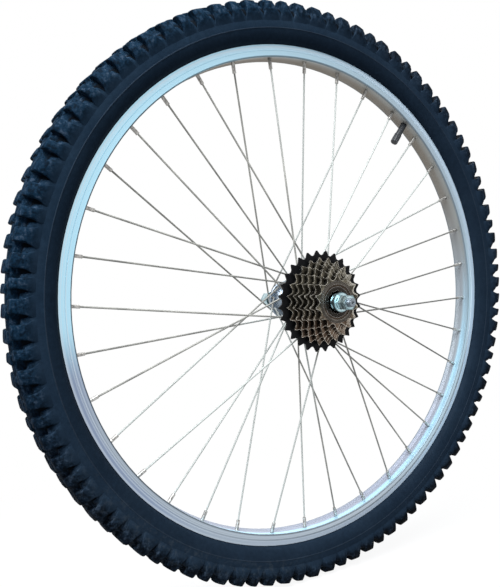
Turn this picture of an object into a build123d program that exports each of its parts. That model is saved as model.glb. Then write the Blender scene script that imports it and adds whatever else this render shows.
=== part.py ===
from build123d import *
import os
from math import atan2, cos, degrees, pi, radians, sin, sqrt

# Rear bicycle wheel with a knobby tyre, a solid-axle hub and a seven-speed freewheel.
# Millimetres. Origin at the wheel's centre, axle along Y, drive side at -Y, +Z up.
# Angles around the axle run from +X towards +Z.

# Sides of the wheel, as directions along Y
DRIVE = -1
LEFT = 1

# Fits
running_gap = 0.05
thread_gap = 0.02
seat_gap = 0.1

# Axle and its hardware
axle_radius = 5.0
axle_length = 179.5
axle_tip_radius = 4.8
axle_tip_length = 4.3
axle_end_chamfer = 0.8
centre_drill_radius = 1.6
centre_drill_pilot = 0.4
centre_drill_depth = 1.8
centre_drill_angle = 60
over_locknuts = 135.0
locknut_across_flats = 17.0
locknut_thickness = 5.0
lock_washer_radius = 9.4
lock_washer_thickness = 1.5
spacer_radius = 7.5
axle_washer_radius = 10.7
axle_washer_thickness = 3.0
washer_tooth_count = 24
washer_tooth_depth = 0.5
axle_nut_across_flats = 15.0
axle_nut_thickness = 14.5
nut_edge_slope = 0.55

# Hub bearings
ball_radius = 3.175
ball_count = 9
ball_circle = 9.6
bearing_y_drive = -31.0
bearing_y_left = 43.0
cup_radius = 13.5
cup_hole_radius = 8.3
cup_wall = 1.2
cup_front = 3.6
cone_race_angle = 60.0
cone_nose = 1.5
cone_length = 7.5
dust_cap_thickness = 0.8
dust_cap_gap = 0.4

# Hub shell
flange_y_drive = -19.0
flange_y_left = 40.5
flange_radius = 23.0
flange_thickness = 3.2
flange_rounding = 0.9
spoke_hole_circle = 20.4
spoke_hole_radius = 1.3
barrel_radius = 10.0
barrel_bore = 7.0
barrel_flare_length = 9.0
barrel_flare_radius = 15.5
bearing_housing_radius = 17.0
boss_radius = 17.2
boss_shoulder_radius = 18.2
boss_shoulder_y = -26.5
hub_end_margin = 0.6

# Spokes and nipples
spoke_count = 36
spoke_crossings = 4
first_nipple_angle = 140.06
spoke_radius = 1.0
spoke_bend_radius = 2.2
spoke_lift = 3.2
spoke_head_radius = 1.8
spoke_head_thickness = 0.8
nipple_length = 16.0
nipple_radius = 2.0
nipple_flats = 3.4
nipple_flats_length = 8.0
nipple_head_radius = 2.9
nipple_head_height = 2.4
nipple_hole_gap = 0.25

# Rim
rim_edge_radius = 285.0
rim_half_width = 12.4
rim_wall = 1.6
rim_hook = 0.4
rim_hook_height = 1.8
bead_seat_radius = 279.5
rim_corner_radius = 272.4
rim_corner_rounding = 1.4
track_inner_radius = 279.0
track_step = 0.5
rim_ridge_half = 9.4
rim_trough_half = 5.0
rim_bed_radius = 273.6
rim_bed_thickness = 2.6
rim_well_half = 6.4
rim_well_slope = 1.2
nipple_seat_depth = 0.7
tape_half_width = 6.2
tape_thickness = 0.7
tape_gap = 0.6

# Tyre and inner tube
casing_centre_radius = 303.0
casing_radius = 23.0
casing_wall = 2.3
bead_width = 3.6
bead_shoulder = 3.0
undertread = 1.8
tread_radius = 330.0
shoulder_top_radius = 328.0
shoulder_top_inner_radius = 329.6
knob_root_depth = 0.8
shoulder_corner_y = 21.3
shoulder_inner_y = 12.0
shoulder_bulge_radius = 316.5
shoulder_bulge_y = 25.6
shoulder_foot_radius = 307.0
pair_block_inner_y = 1.3
pair_block_outer_y = 8.6
single_block_y = 6.2
tread_pitches = 32
large_knob_share = 0.362
large_knob_fill = 0.66
small_knob_fill = 0.62
block_fill = 0.54
tread_phase = -2.2
crown_lag = 0.9
tube_gap = 0.2
tube_wall = 1.0

# Valve
valve_angle = 55.06
valve_stem_radius = 3.9
valve_neck_radius = 3.2
valve_cap_radius = 4.6
valve_tip_radius = 244.0
valve_cap_length = 13.0
valve_cap_wall = 1.0
valve_cap_ribs = 12
valve_cap_rib_radius = 0.45
valve_hole_gap = 0.3
valve_bore_radius = 1.9
valve_core_length = 22.0
valve_pin_radius = 0.6
valve_pin_stand_out = 1.0
valve_neck_cover = 6.5

# Freewheel
sprocket_teeth = (28, 24, 22, 20, 18, 16, 14)
chain_pitch = 12.7
roller_gap_radius = 4.0
tooth_height = 1.1
tooth_flank_start = 30.0
tooth_flare = 0.92
sprocket_thickness = 1.9
largest_sprocket_y = -32.5
sprocket_spacing = 4.9
sprockets_on_large_step = 5
large_step_radius = 28.0
middle_step_radius = 24.0
small_step_radius = 20.6
spline_count = 9
spline_width = 4.0
spline_height = 1.2
body_back_margin = 2.0
end_collar_radius = 23.2
end_collar_height = 0.6
ratchet_teeth = 24
ratchet_tip_radius = 21.8
ratchet_root_radius = 24.4
ratchet_width = 11.0
ratchet_start = 2.4
inner_body_radius = 21.0
inner_front_radius = 17.0
race_gap = 0.08
tool_recess_radius = 12.4
tool_splines = 12
tool_spline_width = 1.8
tool_spline_depth = 1.2
adjusting_cone_height = 4.0
adjusting_cone_radius = 19.6
adjusting_cone_holes = 2
adjusting_cone_hole_depth = 2.0
adjusting_cone_hole_radius = 1.1
pawl_pivot_radius = 19.7
pawl_heel_radius = 1.1
pawl_reach_angle = 29.6
pawl_tip_inner = 21.3
pawl_tip_outer = 23.0
pawl_width = 8.0
pawl_face_gap = 2.95
pawl_tip_bevel = 1.0
pawl_fold = 13.0
pawl_first_angle = 20.0
pawl_pocket_gap = 0.1
pawl_pocket_lead = 5.0
spring_ring_radius = 20.45
spring_wire_radius = 0.35
spring_slot_width = 1.1
spring_slot_floor = 19.9
spring_split_angle = 10.0

# Places that follow from the sizes above
axle_bore = axle_radius + thread_gap
locknut_face = over_locknuts / 2
locknut_inner = locknut_face - locknut_thickness
lock_washer_inner = locknut_inner - lock_washer_thickness
race_radius = ball_radius + running_gap
cone_radius = ball_circle - race_radius * cos(radians(cone_race_angle))
cup_back = race_radius + cup_wall
hub_end = cup_front + dust_cap_thickness + hub_end_margin
rim_well_radius = rim_bed_radius + rim_bed_thickness
nipple_seat_radius = rim_well_radius - nipple_seat_depth
tape_radius = nipple_seat_radius + nipple_head_height + tape_gap
lacing_turn = spoke_crossings * 360 / (spoke_count / 2)
nipple_pitch = 360 / spoke_count
set_size = spoke_count // 4
elbow_offset = flange_thickness / 2 + spoke_lift
tube_radius = casing_radius - casing_wall - tube_gap
body_back_y = largest_sprocket_y + sprocket_thickness / 2 + body_back_margin
sprocket_ys = [largest_sprocket_y - i * sprocket_spacing for i in range(len(sprocket_teeth))]
body_front_y = sprocket_ys[-1] - sprocket_thickness / 2
ratchet_back_y = body_back_y - ratchet_start
ratchet_front_y = ratchet_back_y - ratchet_width
pawl_middle_y = (ratchet_back_y + ratchet_front_y) / 2
hub_front_y = bearing_y_drive - hub_end


def across(y):
    """A drawing plane across the axle at this Y: local x is X, local y is Z, and it faces the drive side."""
    return Plane.XZ.offset(-y)


def turned(angles):
    """Places turned about the axle by these angles."""
    return Locations(*[Location((0, 0, 0), (0, -angle, 0)) for angle in angles])


def polar(radius, angle, y):
    """A point at this radius and angle around the axle."""
    return Vector(radius * cos(radians(angle)), y, radius * sin(radians(angle)))


def flat_polar(radius, angle):
    """The same point on a drawing plane across the axle."""
    return (radius * cos(radians(angle)), radius * sin(radians(angle)))


def ring(inner, outer, y_from, y_to):
    """A plain turned ring around the axle."""
    with BuildPart() as plain_ring:
        with BuildSketch(across(max(y_from, y_to))):
            Circle(outer)
            Circle(inner, mode=Mode.SUBTRACT)
        extrude(amount=abs(y_to - y_from))
    return plain_ring


# Axle with turned-down, chamfered and centre-drilled ends
with BuildPart() as axle:
    with BuildSketch(Plane.XZ):
        Circle(axle_tip_radius)
    extrude(amount=axle_length / 2, both=True)
    with BuildSketch(Plane.XZ):
        Circle(axle_radius)
    extrude(amount=axle_length / 2 - axle_tip_length, both=True)
    end_faces = [axle.faces().sort_by(Axis.Y)[0], axle.faces().sort_by(Axis.Y)[-1]]
    chamfer([face.edges()[0] for face in end_faces], axle_end_chamfer)
    for end in (axle.faces().sort_by(Axis.Y)[0], axle.faces().sort_by(Axis.Y)[-1]):
        with Locations(Plane(end)):
            CounterSinkHole(
                centre_drill_pilot,
                centre_drill_radius,
                depth=centre_drill_depth,
                counter_sink_angle=centre_drill_angle,
            )


def bearing_cone(ball_y, out):
    """A cone screwed on the axle, with its race towards the balls."""
    race_end = radians(cone_race_angle)
    race_middle = race_end / 2
    bottom = ball_circle - race_radius
    with BuildPart() as cone:
        with BuildSketch(Plane.XY):
            with BuildLine():
                Polyline(
                    (cone_radius, ball_y + out * race_radius * sin(race_end)),
                    (cone_radius, ball_y + out * cone_length),
                    (axle_bore, ball_y + out * cone_length),
                    (axle_bore, ball_y - out * cone_nose),
                    (bottom, ball_y - out * cone_nose),
                    (bottom, ball_y),
                )
                ThreePointArc(
                    (bottom, ball_y),
                    (ball_circle - race_radius * cos(race_middle), ball_y + out * race_radius * sin(race_middle)),
                    (cone_radius, ball_y + out * race_radius * sin(race_end)),
                )
            make_face()
        revolve(axis=Axis.Y)
    return cone


def bearing_cup(ball_y, out):
    """A cup pressed into the hub shell, with its race facing the balls."""
    lip = ball_circle + race_radius
    middle = race_radius * sqrt(0.5)
    with BuildPart() as cup:
        with BuildSketch(Plane.XY):
            with BuildLine():
                Polyline(
                    (lip, ball_y),
                    (lip, ball_y + out * cup_front),
                    (cup_radius, ball_y + out * cup_front),
                    (cup_radius, ball_y - out * cup_back),
                    (cup_hole_radius, ball_y - out * cup_back),
                    (cup_hole_radius, ball_y - out * race_radius),
                    (ball_circle, ball_y - out * race_radius),
                )
                ThreePointArc(
                    (ball_circle, ball_y - out * race_radius),
                    (ball_circle + middle, ball_y - out * middle),
                    (lip, ball_y),
                )
            make_face()
        revolve(axis=Axis.Y)
    return cup


def bearing_balls(ball_y):
    """One row of loose balls between cone and cup."""
    with BuildPart(across(ball_y)) as balls:
        with PolarLocations(ball_circle, ball_count):
            Sphere(ball_radius)
    return balls


def dust_cap(ball_y, out):
    """A thin ring over the cup's mouth, clear of the cone."""
    start = ball_y + out * cup_front
    return ring(cone_radius + dust_cap_gap, cup_radius, start, start + out * dust_cap_thickness)


def hex_nut(across_flats, y_from, y_to):
    """A hexagon nut on the axle with turned-off corners at both ends."""
    corner = across_flats / sqrt(3)
    rim = across_flats / 2
    low = min(y_from, y_to)
    high = max(y_from, y_to)
    drop = (corner - rim) * nut_edge_slope
    with BuildPart() as nut:
        with BuildSketch(across(high)):
            RegularPolygon(corner, 6)
            Circle(axle_bore, mode=Mode.SUBTRACT)
        extrude(amount=high - low)
        with BuildSketch(Plane.XY):
            Polygon(
                (0, low), (rim, low), (corner, low + drop), (corner, high - drop), (rim, high), (0, high), align=None
            )
        revolve(axis=Axis.Y, mode=Mode.INTERSECT)
    return nut


def axle_washer(out):
    """A thick washer with radial teeth on the face that grips the frame."""
    inner = out * locknut_face
    outer = out * (locknut_face + axle_washer_thickness)
    tooth = 2 * pi * axle_washer_radius / washer_tooth_count / 2
    with BuildPart() as washer:
        with BuildSketch(across(max(inner, outer))):
            Circle(axle_washer_radius)
            Circle(axle_bore, mode=Mode.SUBTRACT)
        extrude(amount=axle_washer_thickness)
        with BuildSketch(across(inner if out == DRIVE else inner + washer_tooth_depth)):
            with PolarLocations(axle_washer_radius, washer_tooth_count):
                Rectangle(axle_washer_radius - spacer_radius, tooth)
        extrude(amount=washer_tooth_depth, mode=Mode.SUBTRACT)
    return washer


cone_face_drive = bearing_y_drive + DRIVE * cone_length
cone_face_left = bearing_y_left + LEFT * cone_length
drive_cone = bearing_cone(bearing_y_drive, DRIVE)
left_cone = bearing_cone(bearing_y_left, LEFT)
drive_bearing_balls = bearing_balls(bearing_y_drive)
left_bearing_balls = bearing_balls(bearing_y_left)
drive_axle_spacer = ring(axle_bore, spacer_radius, cone_face_drive, DRIVE * lock_washer_inner)
left_axle_spacer = ring(axle_bore, spacer_radius, cone_face_left, LEFT * lock_washer_inner)
drive_lock_washer = ring(axle_bore, lock_washer_radius, DRIVE * lock_washer_inner, DRIVE * locknut_inner)
left_lock_washer = ring(axle_bore, lock_washer_radius, LEFT * lock_washer_inner, LEFT * locknut_inner)
drive_locknut = hex_nut(locknut_across_flats, DRIVE * locknut_inner, DRIVE * locknut_face)
left_locknut = hex_nut(locknut_across_flats, LEFT * locknut_inner, LEFT * locknut_face)
drive_axle_washer = axle_washer(DRIVE)
left_axle_washer = axle_washer(LEFT)
nut_start = locknut_face + axle_washer_thickness
drive_axle_nut = hex_nut(axle_nut_across_flats, DRIVE * nut_start, DRIVE * (nut_start + axle_nut_thickness))
left_axle_nut = hex_nut(axle_nut_across_flats, LEFT * nut_start, LEFT * (nut_start + axle_nut_thickness))
drive_bearing_cup = bearing_cup(bearing_y_drive, DRIVE)
left_bearing_cup = bearing_cup(bearing_y_left, LEFT)
drive_dust_cap = dust_cap(bearing_y_drive, DRIVE)
left_dust_cap = dust_cap(bearing_y_left, LEFT)


def spoke_set(start, flange_y, out, turn):
    """One quarter of the spokes: where the first one sits, and which way it leans and lies on its flange."""
    rim_angle = first_nipple_angle - start * nipple_pitch
    hub_angle = rim_angle + turn * lacing_turn
    face = out * turn
    elbow = polar(spoke_hole_circle, hub_angle, flange_y + face * elbow_offset)
    seat = polar(nipple_seat_radius, rim_angle, 0)
    return {
        "hub_angle": hub_angle,
        "head": polar(spoke_hole_circle, hub_angle, flange_y - face * flange_thickness / 2),
        "face": face,
        "elbow": elbow,
        "seat": seat,
        "along": (seat - elbow).normalized(),
    }


drive_sets = [spoke_set(0, flange_y_drive, DRIVE, 1), spoke_set(2, flange_y_drive, DRIVE, -1)]
left_sets = [spoke_set(3, flange_y_left, LEFT, 1), spoke_set(1, flange_y_left, LEFT, -1)]
set_angles = [i * 360 / set_size for i in range(set_size)]


def flange_profile(flange_y):
    """A spoke flange's section with rounded rims."""
    with BuildSketch(Plane.XY) as section:
        with Locations(((flange_radius + barrel_bore) / 2, flange_y)):
            Rectangle(flange_radius - barrel_bore, flange_thickness)
        rims = section.vertices().group_by(Axis.X)[-1]
        fillet(rims, flange_rounding)
    return section


# Hub shell: barrel, flanges, bearing housings and the boss that the freewheel screws on
with BuildPart() as hub_shell:
    half_flange = flange_thickness / 2
    left_end = bearing_y_left + hub_end
    with BuildSketch(Plane.XY):
        Polygon(
            (barrel_bore, hub_front_y),
            (boss_radius, hub_front_y),
            (boss_radius, boss_shoulder_y),
            (boss_shoulder_radius, boss_shoulder_y),
            (boss_shoulder_radius, flange_y_drive),
            (barrel_flare_radius, flange_y_drive + half_flange),
            (barrel_radius, flange_y_drive + half_flange + barrel_flare_length),
            (barrel_radius, flange_y_left - half_flange - barrel_flare_length),
            (barrel_flare_radius, flange_y_left - half_flange),
            (bearing_housing_radius, flange_y_left),
            (bearing_housing_radius, left_end),
            (barrel_bore, left_end),
            align=None,
        )
        add(flange_profile(flange_y_drive).sketch)
        add(flange_profile(flange_y_left).sketch)
    revolve(axis=Axis.Y)
    for ball_y, out in ((bearing_y_drive, DRIVE), (bearing_y_left, LEFT)):
        seat_bottom = ball_y - out * cup_back
        seat_mouth = ball_y + out * hub_end
        with BuildSketch(across(max(seat_bottom, seat_mouth))):
            Circle(cup_radius)
        extrude(amount=abs(seat_mouth - seat_bottom), mode=Mode.SUBTRACT)
    for flange_y, sets in ((flange_y_drive, drive_sets), (flange_y_left, left_sets)):
        with BuildSketch(across(flange_y + half_flange)):
            for laced in sets:
                with PolarLocations(spoke_hole_circle, set_size, start_angle=laced["hub_angle"]):
                    Circle(spoke_hole_radius)
        extrude(amount=flange_thickness, mode=Mode.SUBTRACT)


def single_spoke(laced):
    """A spoke: head on one face of the flange, elbow through its hole, straight run into the nipple."""
    into = Vector(0, laced["face"], 0)
    head_back = laced["head"] - into * spoke_head_thickness
    end = laced["seat"] + laced["along"] * nipple_head_height / 2
    with BuildPart() as spoke:
        with BuildLine() as route:
            FilletPolyline(laced["head"], laced["elbow"], end, radius=spoke_bend_radius)
        with BuildSketch(Plane(origin=laced["head"], z_dir=into)):
            Circle(spoke_radius)
        sweep(path=route.line)
        with BuildSketch(Plane(origin=head_back, z_dir=into)):
            Circle(spoke_head_radius)
        extrude(amount=spoke_head_thickness)
    return spoke


def spokes_of(sets):
    """All the spokes of one flange."""
    singles = [single_spoke(laced) for laced in sets]
    with BuildPart() as spokes:
        with turned(set_angles):
            add([single.part for single in singles])
    return spokes


drive_spokes = spokes_of(drive_sets)
left_spokes = spokes_of(left_sets)

# One nipple, tip at the origin, head up
with BuildPart() as nipple:
    shank_length = nipple_length - nipple_head_height
    with BuildSketch(Plane.XZ):
        Polygon(
            (spoke_radius + thread_gap, 0),
            (nipple_radius, 0),
            (nipple_radius, shank_length),
            (nipple_head_radius, shank_length),
            (nipple_head_radius, shank_length + nipple_head_height / 2),
            (nipple_radius, nipple_length),
            (spoke_radius + thread_gap, nipple_length),
            align=None,
        )
    revolve(axis=Axis.Z)
    with BuildSketch(Plane.XY):
        Circle(nipple_radius * 2)
        Rectangle(nipple_flats, nipple_flats, mode=Mode.SUBTRACT)
    extrude(amount=nipple_flats_length, mode=Mode.SUBTRACT)

# The hole that one nipple needs in the rim, in the nipple's own place
with BuildPart() as nipple_hole:
    with BuildSketch(Plane.XY):
        Circle(nipple_radius + nipple_hole_gap)
    extrude(amount=nipple_length)
    with BuildSketch(Plane.XY.offset(shank_length)):
        Circle(nipple_head_radius + nipple_hole_gap)
    extrude(amount=nipple_length)


def nipple_place(laced):
    """The place of a nipple whose head bears on its seat, pointing along its spoke."""
    tip = laced["seat"] - laced["along"] * shank_length
    return Plane(origin=tip, x_dir=(0, 1, 0), z_dir=laced["along"]).location


nipple_places = [nipple_place(laced) for laced in drive_sets + left_sets]

with BuildPart() as spoke_nipples:
    with turned(set_angles):
        with Locations(*nipple_places):
            add(nipple.part)

# Rim: raised brake tracks, hooked edges, bead seats, well and a troughed spoke bed
with BuildPart() as rim:
    wall_face = rim_half_width - rim_wall
    with BuildSketch(Plane.XY) as rim_section:
        with BuildLine():
            half = Polyline(
                (rim_bed_radius, 0),
                (rim_bed_radius, rim_trough_half),
                (rim_corner_radius, rim_ridge_half),
                (rim_corner_radius, rim_half_width - track_step),
                (track_inner_radius - track_step, rim_half_width - track_step),
                (track_inner_radius, rim_half_width),
                (rim_edge_radius, rim_half_width),
                (rim_edge_radius, wall_face - rim_hook),
                (rim_edge_radius - rim_hook_height, wall_face - rim_hook),
                (rim_edge_radius - rim_hook_height - rim_hook, wall_face),
                (bead_seat_radius, wall_face),
                (bead_seat_radius, rim_well_half + rim_well_slope),
                (rim_well_radius, rim_well_half),
                (rim_well_radius, 0),
            )
            mirror(half, about=Plane.XZ)
        make_face()
        corners = rim_section.vertices().group_by(Axis.X)[0].sort_by(Axis.Y)
        fillet([corners[0], corners[-1]], rim_corner_rounding)
    revolve(axis=Axis.Y)
    with turned(set_angles):
        with Locations(*nipple_places):
            add(nipple_hole.part, mode=Mode.SUBTRACT)
    valve_way = Plane(origin=(0, 0, 0), x_dir=(0, 1, 0), z_dir=polar(1, valve_angle, 0))
    with BuildSketch(valve_way.offset(rim_corner_radius)):
        Circle(valve_stem_radius + valve_hole_gap)
    extrude(amount=bead_seat_radius - rim_corner_radius, mode=Mode.SUBTRACT)

# Rim tape over the nipple heads, with a hole for the valve
with BuildPart() as rim_tape:
    with BuildSketch(across(tape_half_width)):
        Circle(tape_radius + tape_thickness)
        Circle(tape_radius, mode=Mode.SUBTRACT)
    extrude(amount=2 * tape_half_width)
    with BuildSketch(valve_way.offset(tape_radius - tape_thickness)):
        Circle(valve_stem_radius + valve_hole_gap)
    extrude(amount=3 * tape_thickness, mode=Mode.SUBTRACT)


def knob(points, arc):
    """One tread knob: a section that reaches out from the casing, turned through a short arc about +X."""
    with BuildPart() as block:
        with BuildSketch(Plane.XY.rotated((0, -arc / 2, 0))):
            Polygon((casing_centre_radius, 0), *points, align=None)
            with Locations((casing_centre_radius, 0)):
                Circle(casing_radius - knob_root_depth, mode=Mode.SUBTRACT)
        revolve(axis=Axis.Y, revolution_arc=arc)
    return block


def shoulder_points(side):
    """Section of a shoulder knob, from the sidewall to the crown."""
    foot_y = sqrt(casing_radius**2 - (shoulder_foot_radius - casing_centre_radius) ** 2)
    return (
        (shoulder_foot_radius, side * foot_y),
        (shoulder_bulge_radius, side * shoulder_bulge_y),
        (shoulder_top_radius, side * shoulder_corner_y),
        (shoulder_top_inner_radius, side * shoulder_inner_y),
    )


def block_points(y_from, y_to):
    """Section of a crown block between two Y places."""
    return ((tread_radius, y_from), (tread_radius, y_to))


# Tread layout: each pitch holds two long knobs and a short one on each shoulder,
# and on the crown two pairs of blocks and one single block.
# The crown and the left shoulder sit a little further on than the drive shoulder
pitch_angle = 360 / tread_pitches
large_angle = pitch_angle * large_knob_share
small_angle = pitch_angle - 2 * large_angle
large_centres = [tread_phase + large_angle / 2, tread_phase + large_angle * 3 / 2]
small_centres = [tread_phase + 2 * large_angle + small_angle / 2]
lagged_large_centres = [centre + crown_lag for centre in large_centres]
lagged_small_centres = [centre + crown_lag for centre in small_centres]
pitch_angles = [i * pitch_angle for i in range(tread_pitches)]

drive_large_knob = knob(shoulder_points(DRIVE), large_angle * large_knob_fill)
drive_small_knob = knob(shoulder_points(DRIVE), small_angle * small_knob_fill)
left_large_knob = knob(shoulder_points(LEFT), large_angle * large_knob_fill)
left_small_knob = knob(shoulder_points(LEFT), small_angle * small_knob_fill)
left_pair_block = knob(block_points(pair_block_inner_y, pair_block_outer_y), large_angle * block_fill)
drive_pair_block = knob(block_points(-pair_block_outer_y, -pair_block_inner_y), large_angle * block_fill)
single_block = knob(block_points(-single_block_y, single_block_y), small_angle * block_fill)

with BuildPart() as tread_pitch:
    with turned(large_centres):
        add(drive_large_knob.part)
    with turned(small_centres):
        add(drive_small_knob.part)
    with turned(lagged_large_centres):
        add([left_large_knob.part, left_pair_block.part, drive_pair_block.part])
    with turned(lagged_small_centres):
        add([left_small_knob.part, single_block.part])

# Tyre: casing with beads seated in the rim, thicker under the tread, and the knobs moulded on it
bead_outer_y = wall_face - rim_hook - seat_gap
bead_foot = bead_seat_radius + seat_gap
bead_top = rim_edge_radius + seat_gap + rim_hook
casing_start = rim_edge_radius + bead_shoulder
inner_radius = casing_radius - casing_wall
below = casing_centre_radius - casing_start
with BuildPart() as tyre:
    with BuildSketch(Plane.XY):
        with Locations((casing_centre_radius, 0), (casing_centre_radius + undertread, 0)):
            Circle(casing_radius)
        with Locations((casing_centre_radius, 0)):
            Circle(inner_radius, mode=Mode.SUBTRACT)
        with Locations(((casing_start + casing_centre_radius - casing_radius) / 2 - casing_wall, 0)):
            Rectangle(
                casing_start - casing_centre_radius + casing_radius + 2 * casing_wall,
                2 * casing_radius,
                mode=Mode.SUBTRACT,
            )
        for side in (DRIVE, LEFT):
            Polygon(
                (casing_start, side * sqrt(casing_radius**2 - below**2)),
                (bead_top, side * rim_half_width),
                (bead_top, side * bead_outer_y),
                (bead_foot, side * bead_outer_y),
                (bead_foot, side * (bead_outer_y - bead_width)),
                (bead_top, side * (bead_outer_y - casing_wall)),
                (casing_start, side * sqrt(inner_radius**2 - below**2)),
                align=None,
            )
    revolve(axis=Axis.Y)
    with turned(pitch_angles):
        add(tread_pitch.part, clean=False)


def tube_section(radius, flat):
    """Section of the inflated tube: round against the casing, flat across the beads."""
    with BuildSketch(Plane.XY) as section:
        with Locations((casing_centre_radius, 0)):
            Circle(radius)
        with Locations((flat, 0)):
            Rectangle(casing_radius, 2 * casing_radius, align=(Align.MAX, Align.CENTER), mode=Mode.SUBTRACT)
    return section


# Inner tube with its rubber-covered valve stem
tube_flat = casing_start + tube_gap
stem_top = tube_flat + tube_wall / 2
cap_mouth = valve_tip_radius + valve_cap_length
neck_end = cap_mouth - valve_neck_cover
with BuildPart() as inner_tube:
    add(tube_section(tube_radius, tube_flat).sketch)
    revolve(axis=Axis.Y)
    add(tube_section(tube_radius - tube_wall, tube_flat + tube_wall).sketch)
    revolve(axis=Axis.Y, mode=Mode.SUBTRACT)
    with BuildSketch(valve_way.offset(cap_mouth)):
        Circle(valve_stem_radius)
    extrude(amount=stem_top - cap_mouth)
    with BuildSketch(valve_way.offset(neck_end)):
        Circle(valve_neck_radius)
    extrude(amount=cap_mouth - neck_end)
    with BuildSketch(valve_way.offset(neck_end)):
        Circle(valve_bore_radius)
    extrude(amount=stem_top + tube_wall - neck_end, mode=Mode.SUBTRACT)

# Valve core: a brass sleeve in the stem, with a hole for its pin
with BuildPart() as valve_core:
    with BuildSketch(valve_way.offset(neck_end)):
        Circle(valve_bore_radius - thread_gap)
        Circle(valve_pin_radius + running_gap, mode=Mode.SUBTRACT)
    extrude(amount=valve_core_length)

with BuildPart() as valve_pin:
    with BuildSketch(valve_way.offset(neck_end - valve_pin_stand_out)):
        Circle(valve_pin_radius)
    extrude(amount=valve_core_length + valve_pin_stand_out)

# Valve cap with ribs for the fingers
with BuildPart() as valve_cap:
    with BuildSketch(valve_way.offset(valve_tip_radius)):
        Circle(valve_cap_radius - valve_cap_rib_radius)
        with PolarLocations(valve_cap_radius - valve_cap_rib_radius, valve_cap_ribs):
            Circle(valve_cap_rib_radius)
    extrude(amount=valve_cap_length)
    with BuildSketch(valve_way.offset(cap_mouth)):
        Circle(valve_neck_radius + running_gap)
    extrude(amount=-(valve_cap_length - valve_cap_wall), mode=Mode.SUBTRACT)


def splined(radius, gap):
    """Outline of the freewheel's splined steps, widened by a gap for the sprockets' bores."""
    with BuildSketch() as outline:
        Circle(radius + gap)
        with PolarLocations(radius, spline_count):
            Rectangle(2 * (spline_height + gap), spline_width + 2 * gap)
    return outline


def step_radius(index):
    """The step of the freewheel body that carries this sprocket, counted from the largest."""
    if index < sprockets_on_large_step:
        return large_step_radius
    if index < len(sprocket_teeth) - 1:
        return middle_step_radius
    return small_step_radius


def sprocket(index):
    """A sprocket: pointed teeth with round gaps for the chain's rollers outside, splines inside."""
    teeth = sprocket_teeth[index]
    pitch_radius = chain_pitch / (2 * sin(pi / teeth))
    tip_radius = pitch_radius + tooth_height
    flank_drop = roller_gap_radius * sin(radians(tooth_flank_start))
    flank_side = roller_gap_radius * cos(radians(tooth_flank_start))
    flare = 2 * tooth_height
    wide = flank_side + tooth_flare * (flare + flank_drop)
    with BuildPart() as toothed:
        with BuildSketch(across(sprocket_ys[index] + sprocket_thickness / 2)):
            Circle(tip_radius)
            with PolarLocations(pitch_radius, teeth):
                Circle(roller_gap_radius, mode=Mode.SUBTRACT)
                Polygon(
                    (-flank_drop, -flank_side),
                    (flare, -wide),
                    (flare, wide),
                    (-flank_drop, flank_side),
                    align=None,
                    mode=Mode.SUBTRACT,
                )
            add(splined(step_radius(index), thread_gap).sketch, mode=Mode.SUBTRACT)
        extrude(amount=sprocket_thickness)
    return toothed


sprockets = [sprocket(index) for index in range(len(sprocket_teeth))]

# Spacer rings between the sprockets
with BuildPart() as sprocket_spacers:
    for index in range(len(sprocket_teeth) - 1):
        with BuildSketch(across(sprocket_ys[index] - sprocket_thickness / 2)):
            Circle(step_radius(index + 1) + 2 * spline_height)
            add(splined(step_radius(index + 1), thread_gap).sketch, mode=Mode.SUBTRACT)
        extrude(amount=sprocket_spacing - sprocket_thickness)

# Freewheel outer body: splined steps outside, ratchet and bearing seats inside
with BuildPart() as freewheel_outer_body:
    with BuildSketch(across(body_back_y)):
        Circle(large_step_radius + 2 * spline_height)
    extrude(amount=body_back_margin)
    step_start = body_back_y - body_back_margin
    for index, sprocket_y in enumerate(sprocket_ys):
        step_end = sprocket_y - sprocket_thickness / 2
        with BuildSketch(across(step_start)):
            add(splined(step_radius(index), 0).sketch)
        extrude(amount=step_start - step_end)
        step_start = step_end
    with BuildSketch(across(body_front_y)):
        Circle(end_collar_radius)
    extrude(amount=end_collar_height)
    with BuildSketch(across(body_back_y)):
        Circle(inner_body_radius + race_gap)
    extrude(amount=body_back_y - ratchet_front_y, mode=Mode.SUBTRACT)
    with BuildSketch(across(ratchet_back_y)):
        ratchet_outline = []
        for tooth in range(ratchet_teeth):
            face_angle = pawl_first_angle + pawl_reach_angle + tooth * 360 / ratchet_teeth
            ratchet_outline.append(flat_polar(ratchet_root_radius, face_angle))
            ratchet_outline.append(flat_polar(ratchet_tip_radius, face_angle))
        Polygon(*ratchet_outline, align=None)
    extrude(amount=ratchet_width, mode=Mode.SUBTRACT)
    with BuildSketch(across(ratchet_front_y)):
        Circle(inner_front_radius + race_gap)
    extrude(amount=ratchet_front_y - body_front_y, mode=Mode.SUBTRACT)
    with BuildSketch(across(body_front_y + adjusting_cone_height)):
        Circle(adjusting_cone_radius + race_gap)
    extrude(amount=adjusting_cone_height + end_collar_height, mode=Mode.SUBTRACT)

pawl_angles = [pawl_first_angle, pawl_first_angle + 180]


def folded_tip_angle():
    """Angle from the heel of the pawl's outer tip when the pawl is folded in."""
    fold = radians(pawl_fold)
    along, up = flat_polar(pawl_tip_outer, pawl_reach_angle - pawl_face_gap)
    along -= pawl_pivot_radius
    folded_along = pawl_pivot_radius + along * cos(fold) - up * sin(fold)
    folded_up = along * sin(fold) + up * cos(fold)
    return degrees(atan2(folded_up, folded_along))


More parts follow.
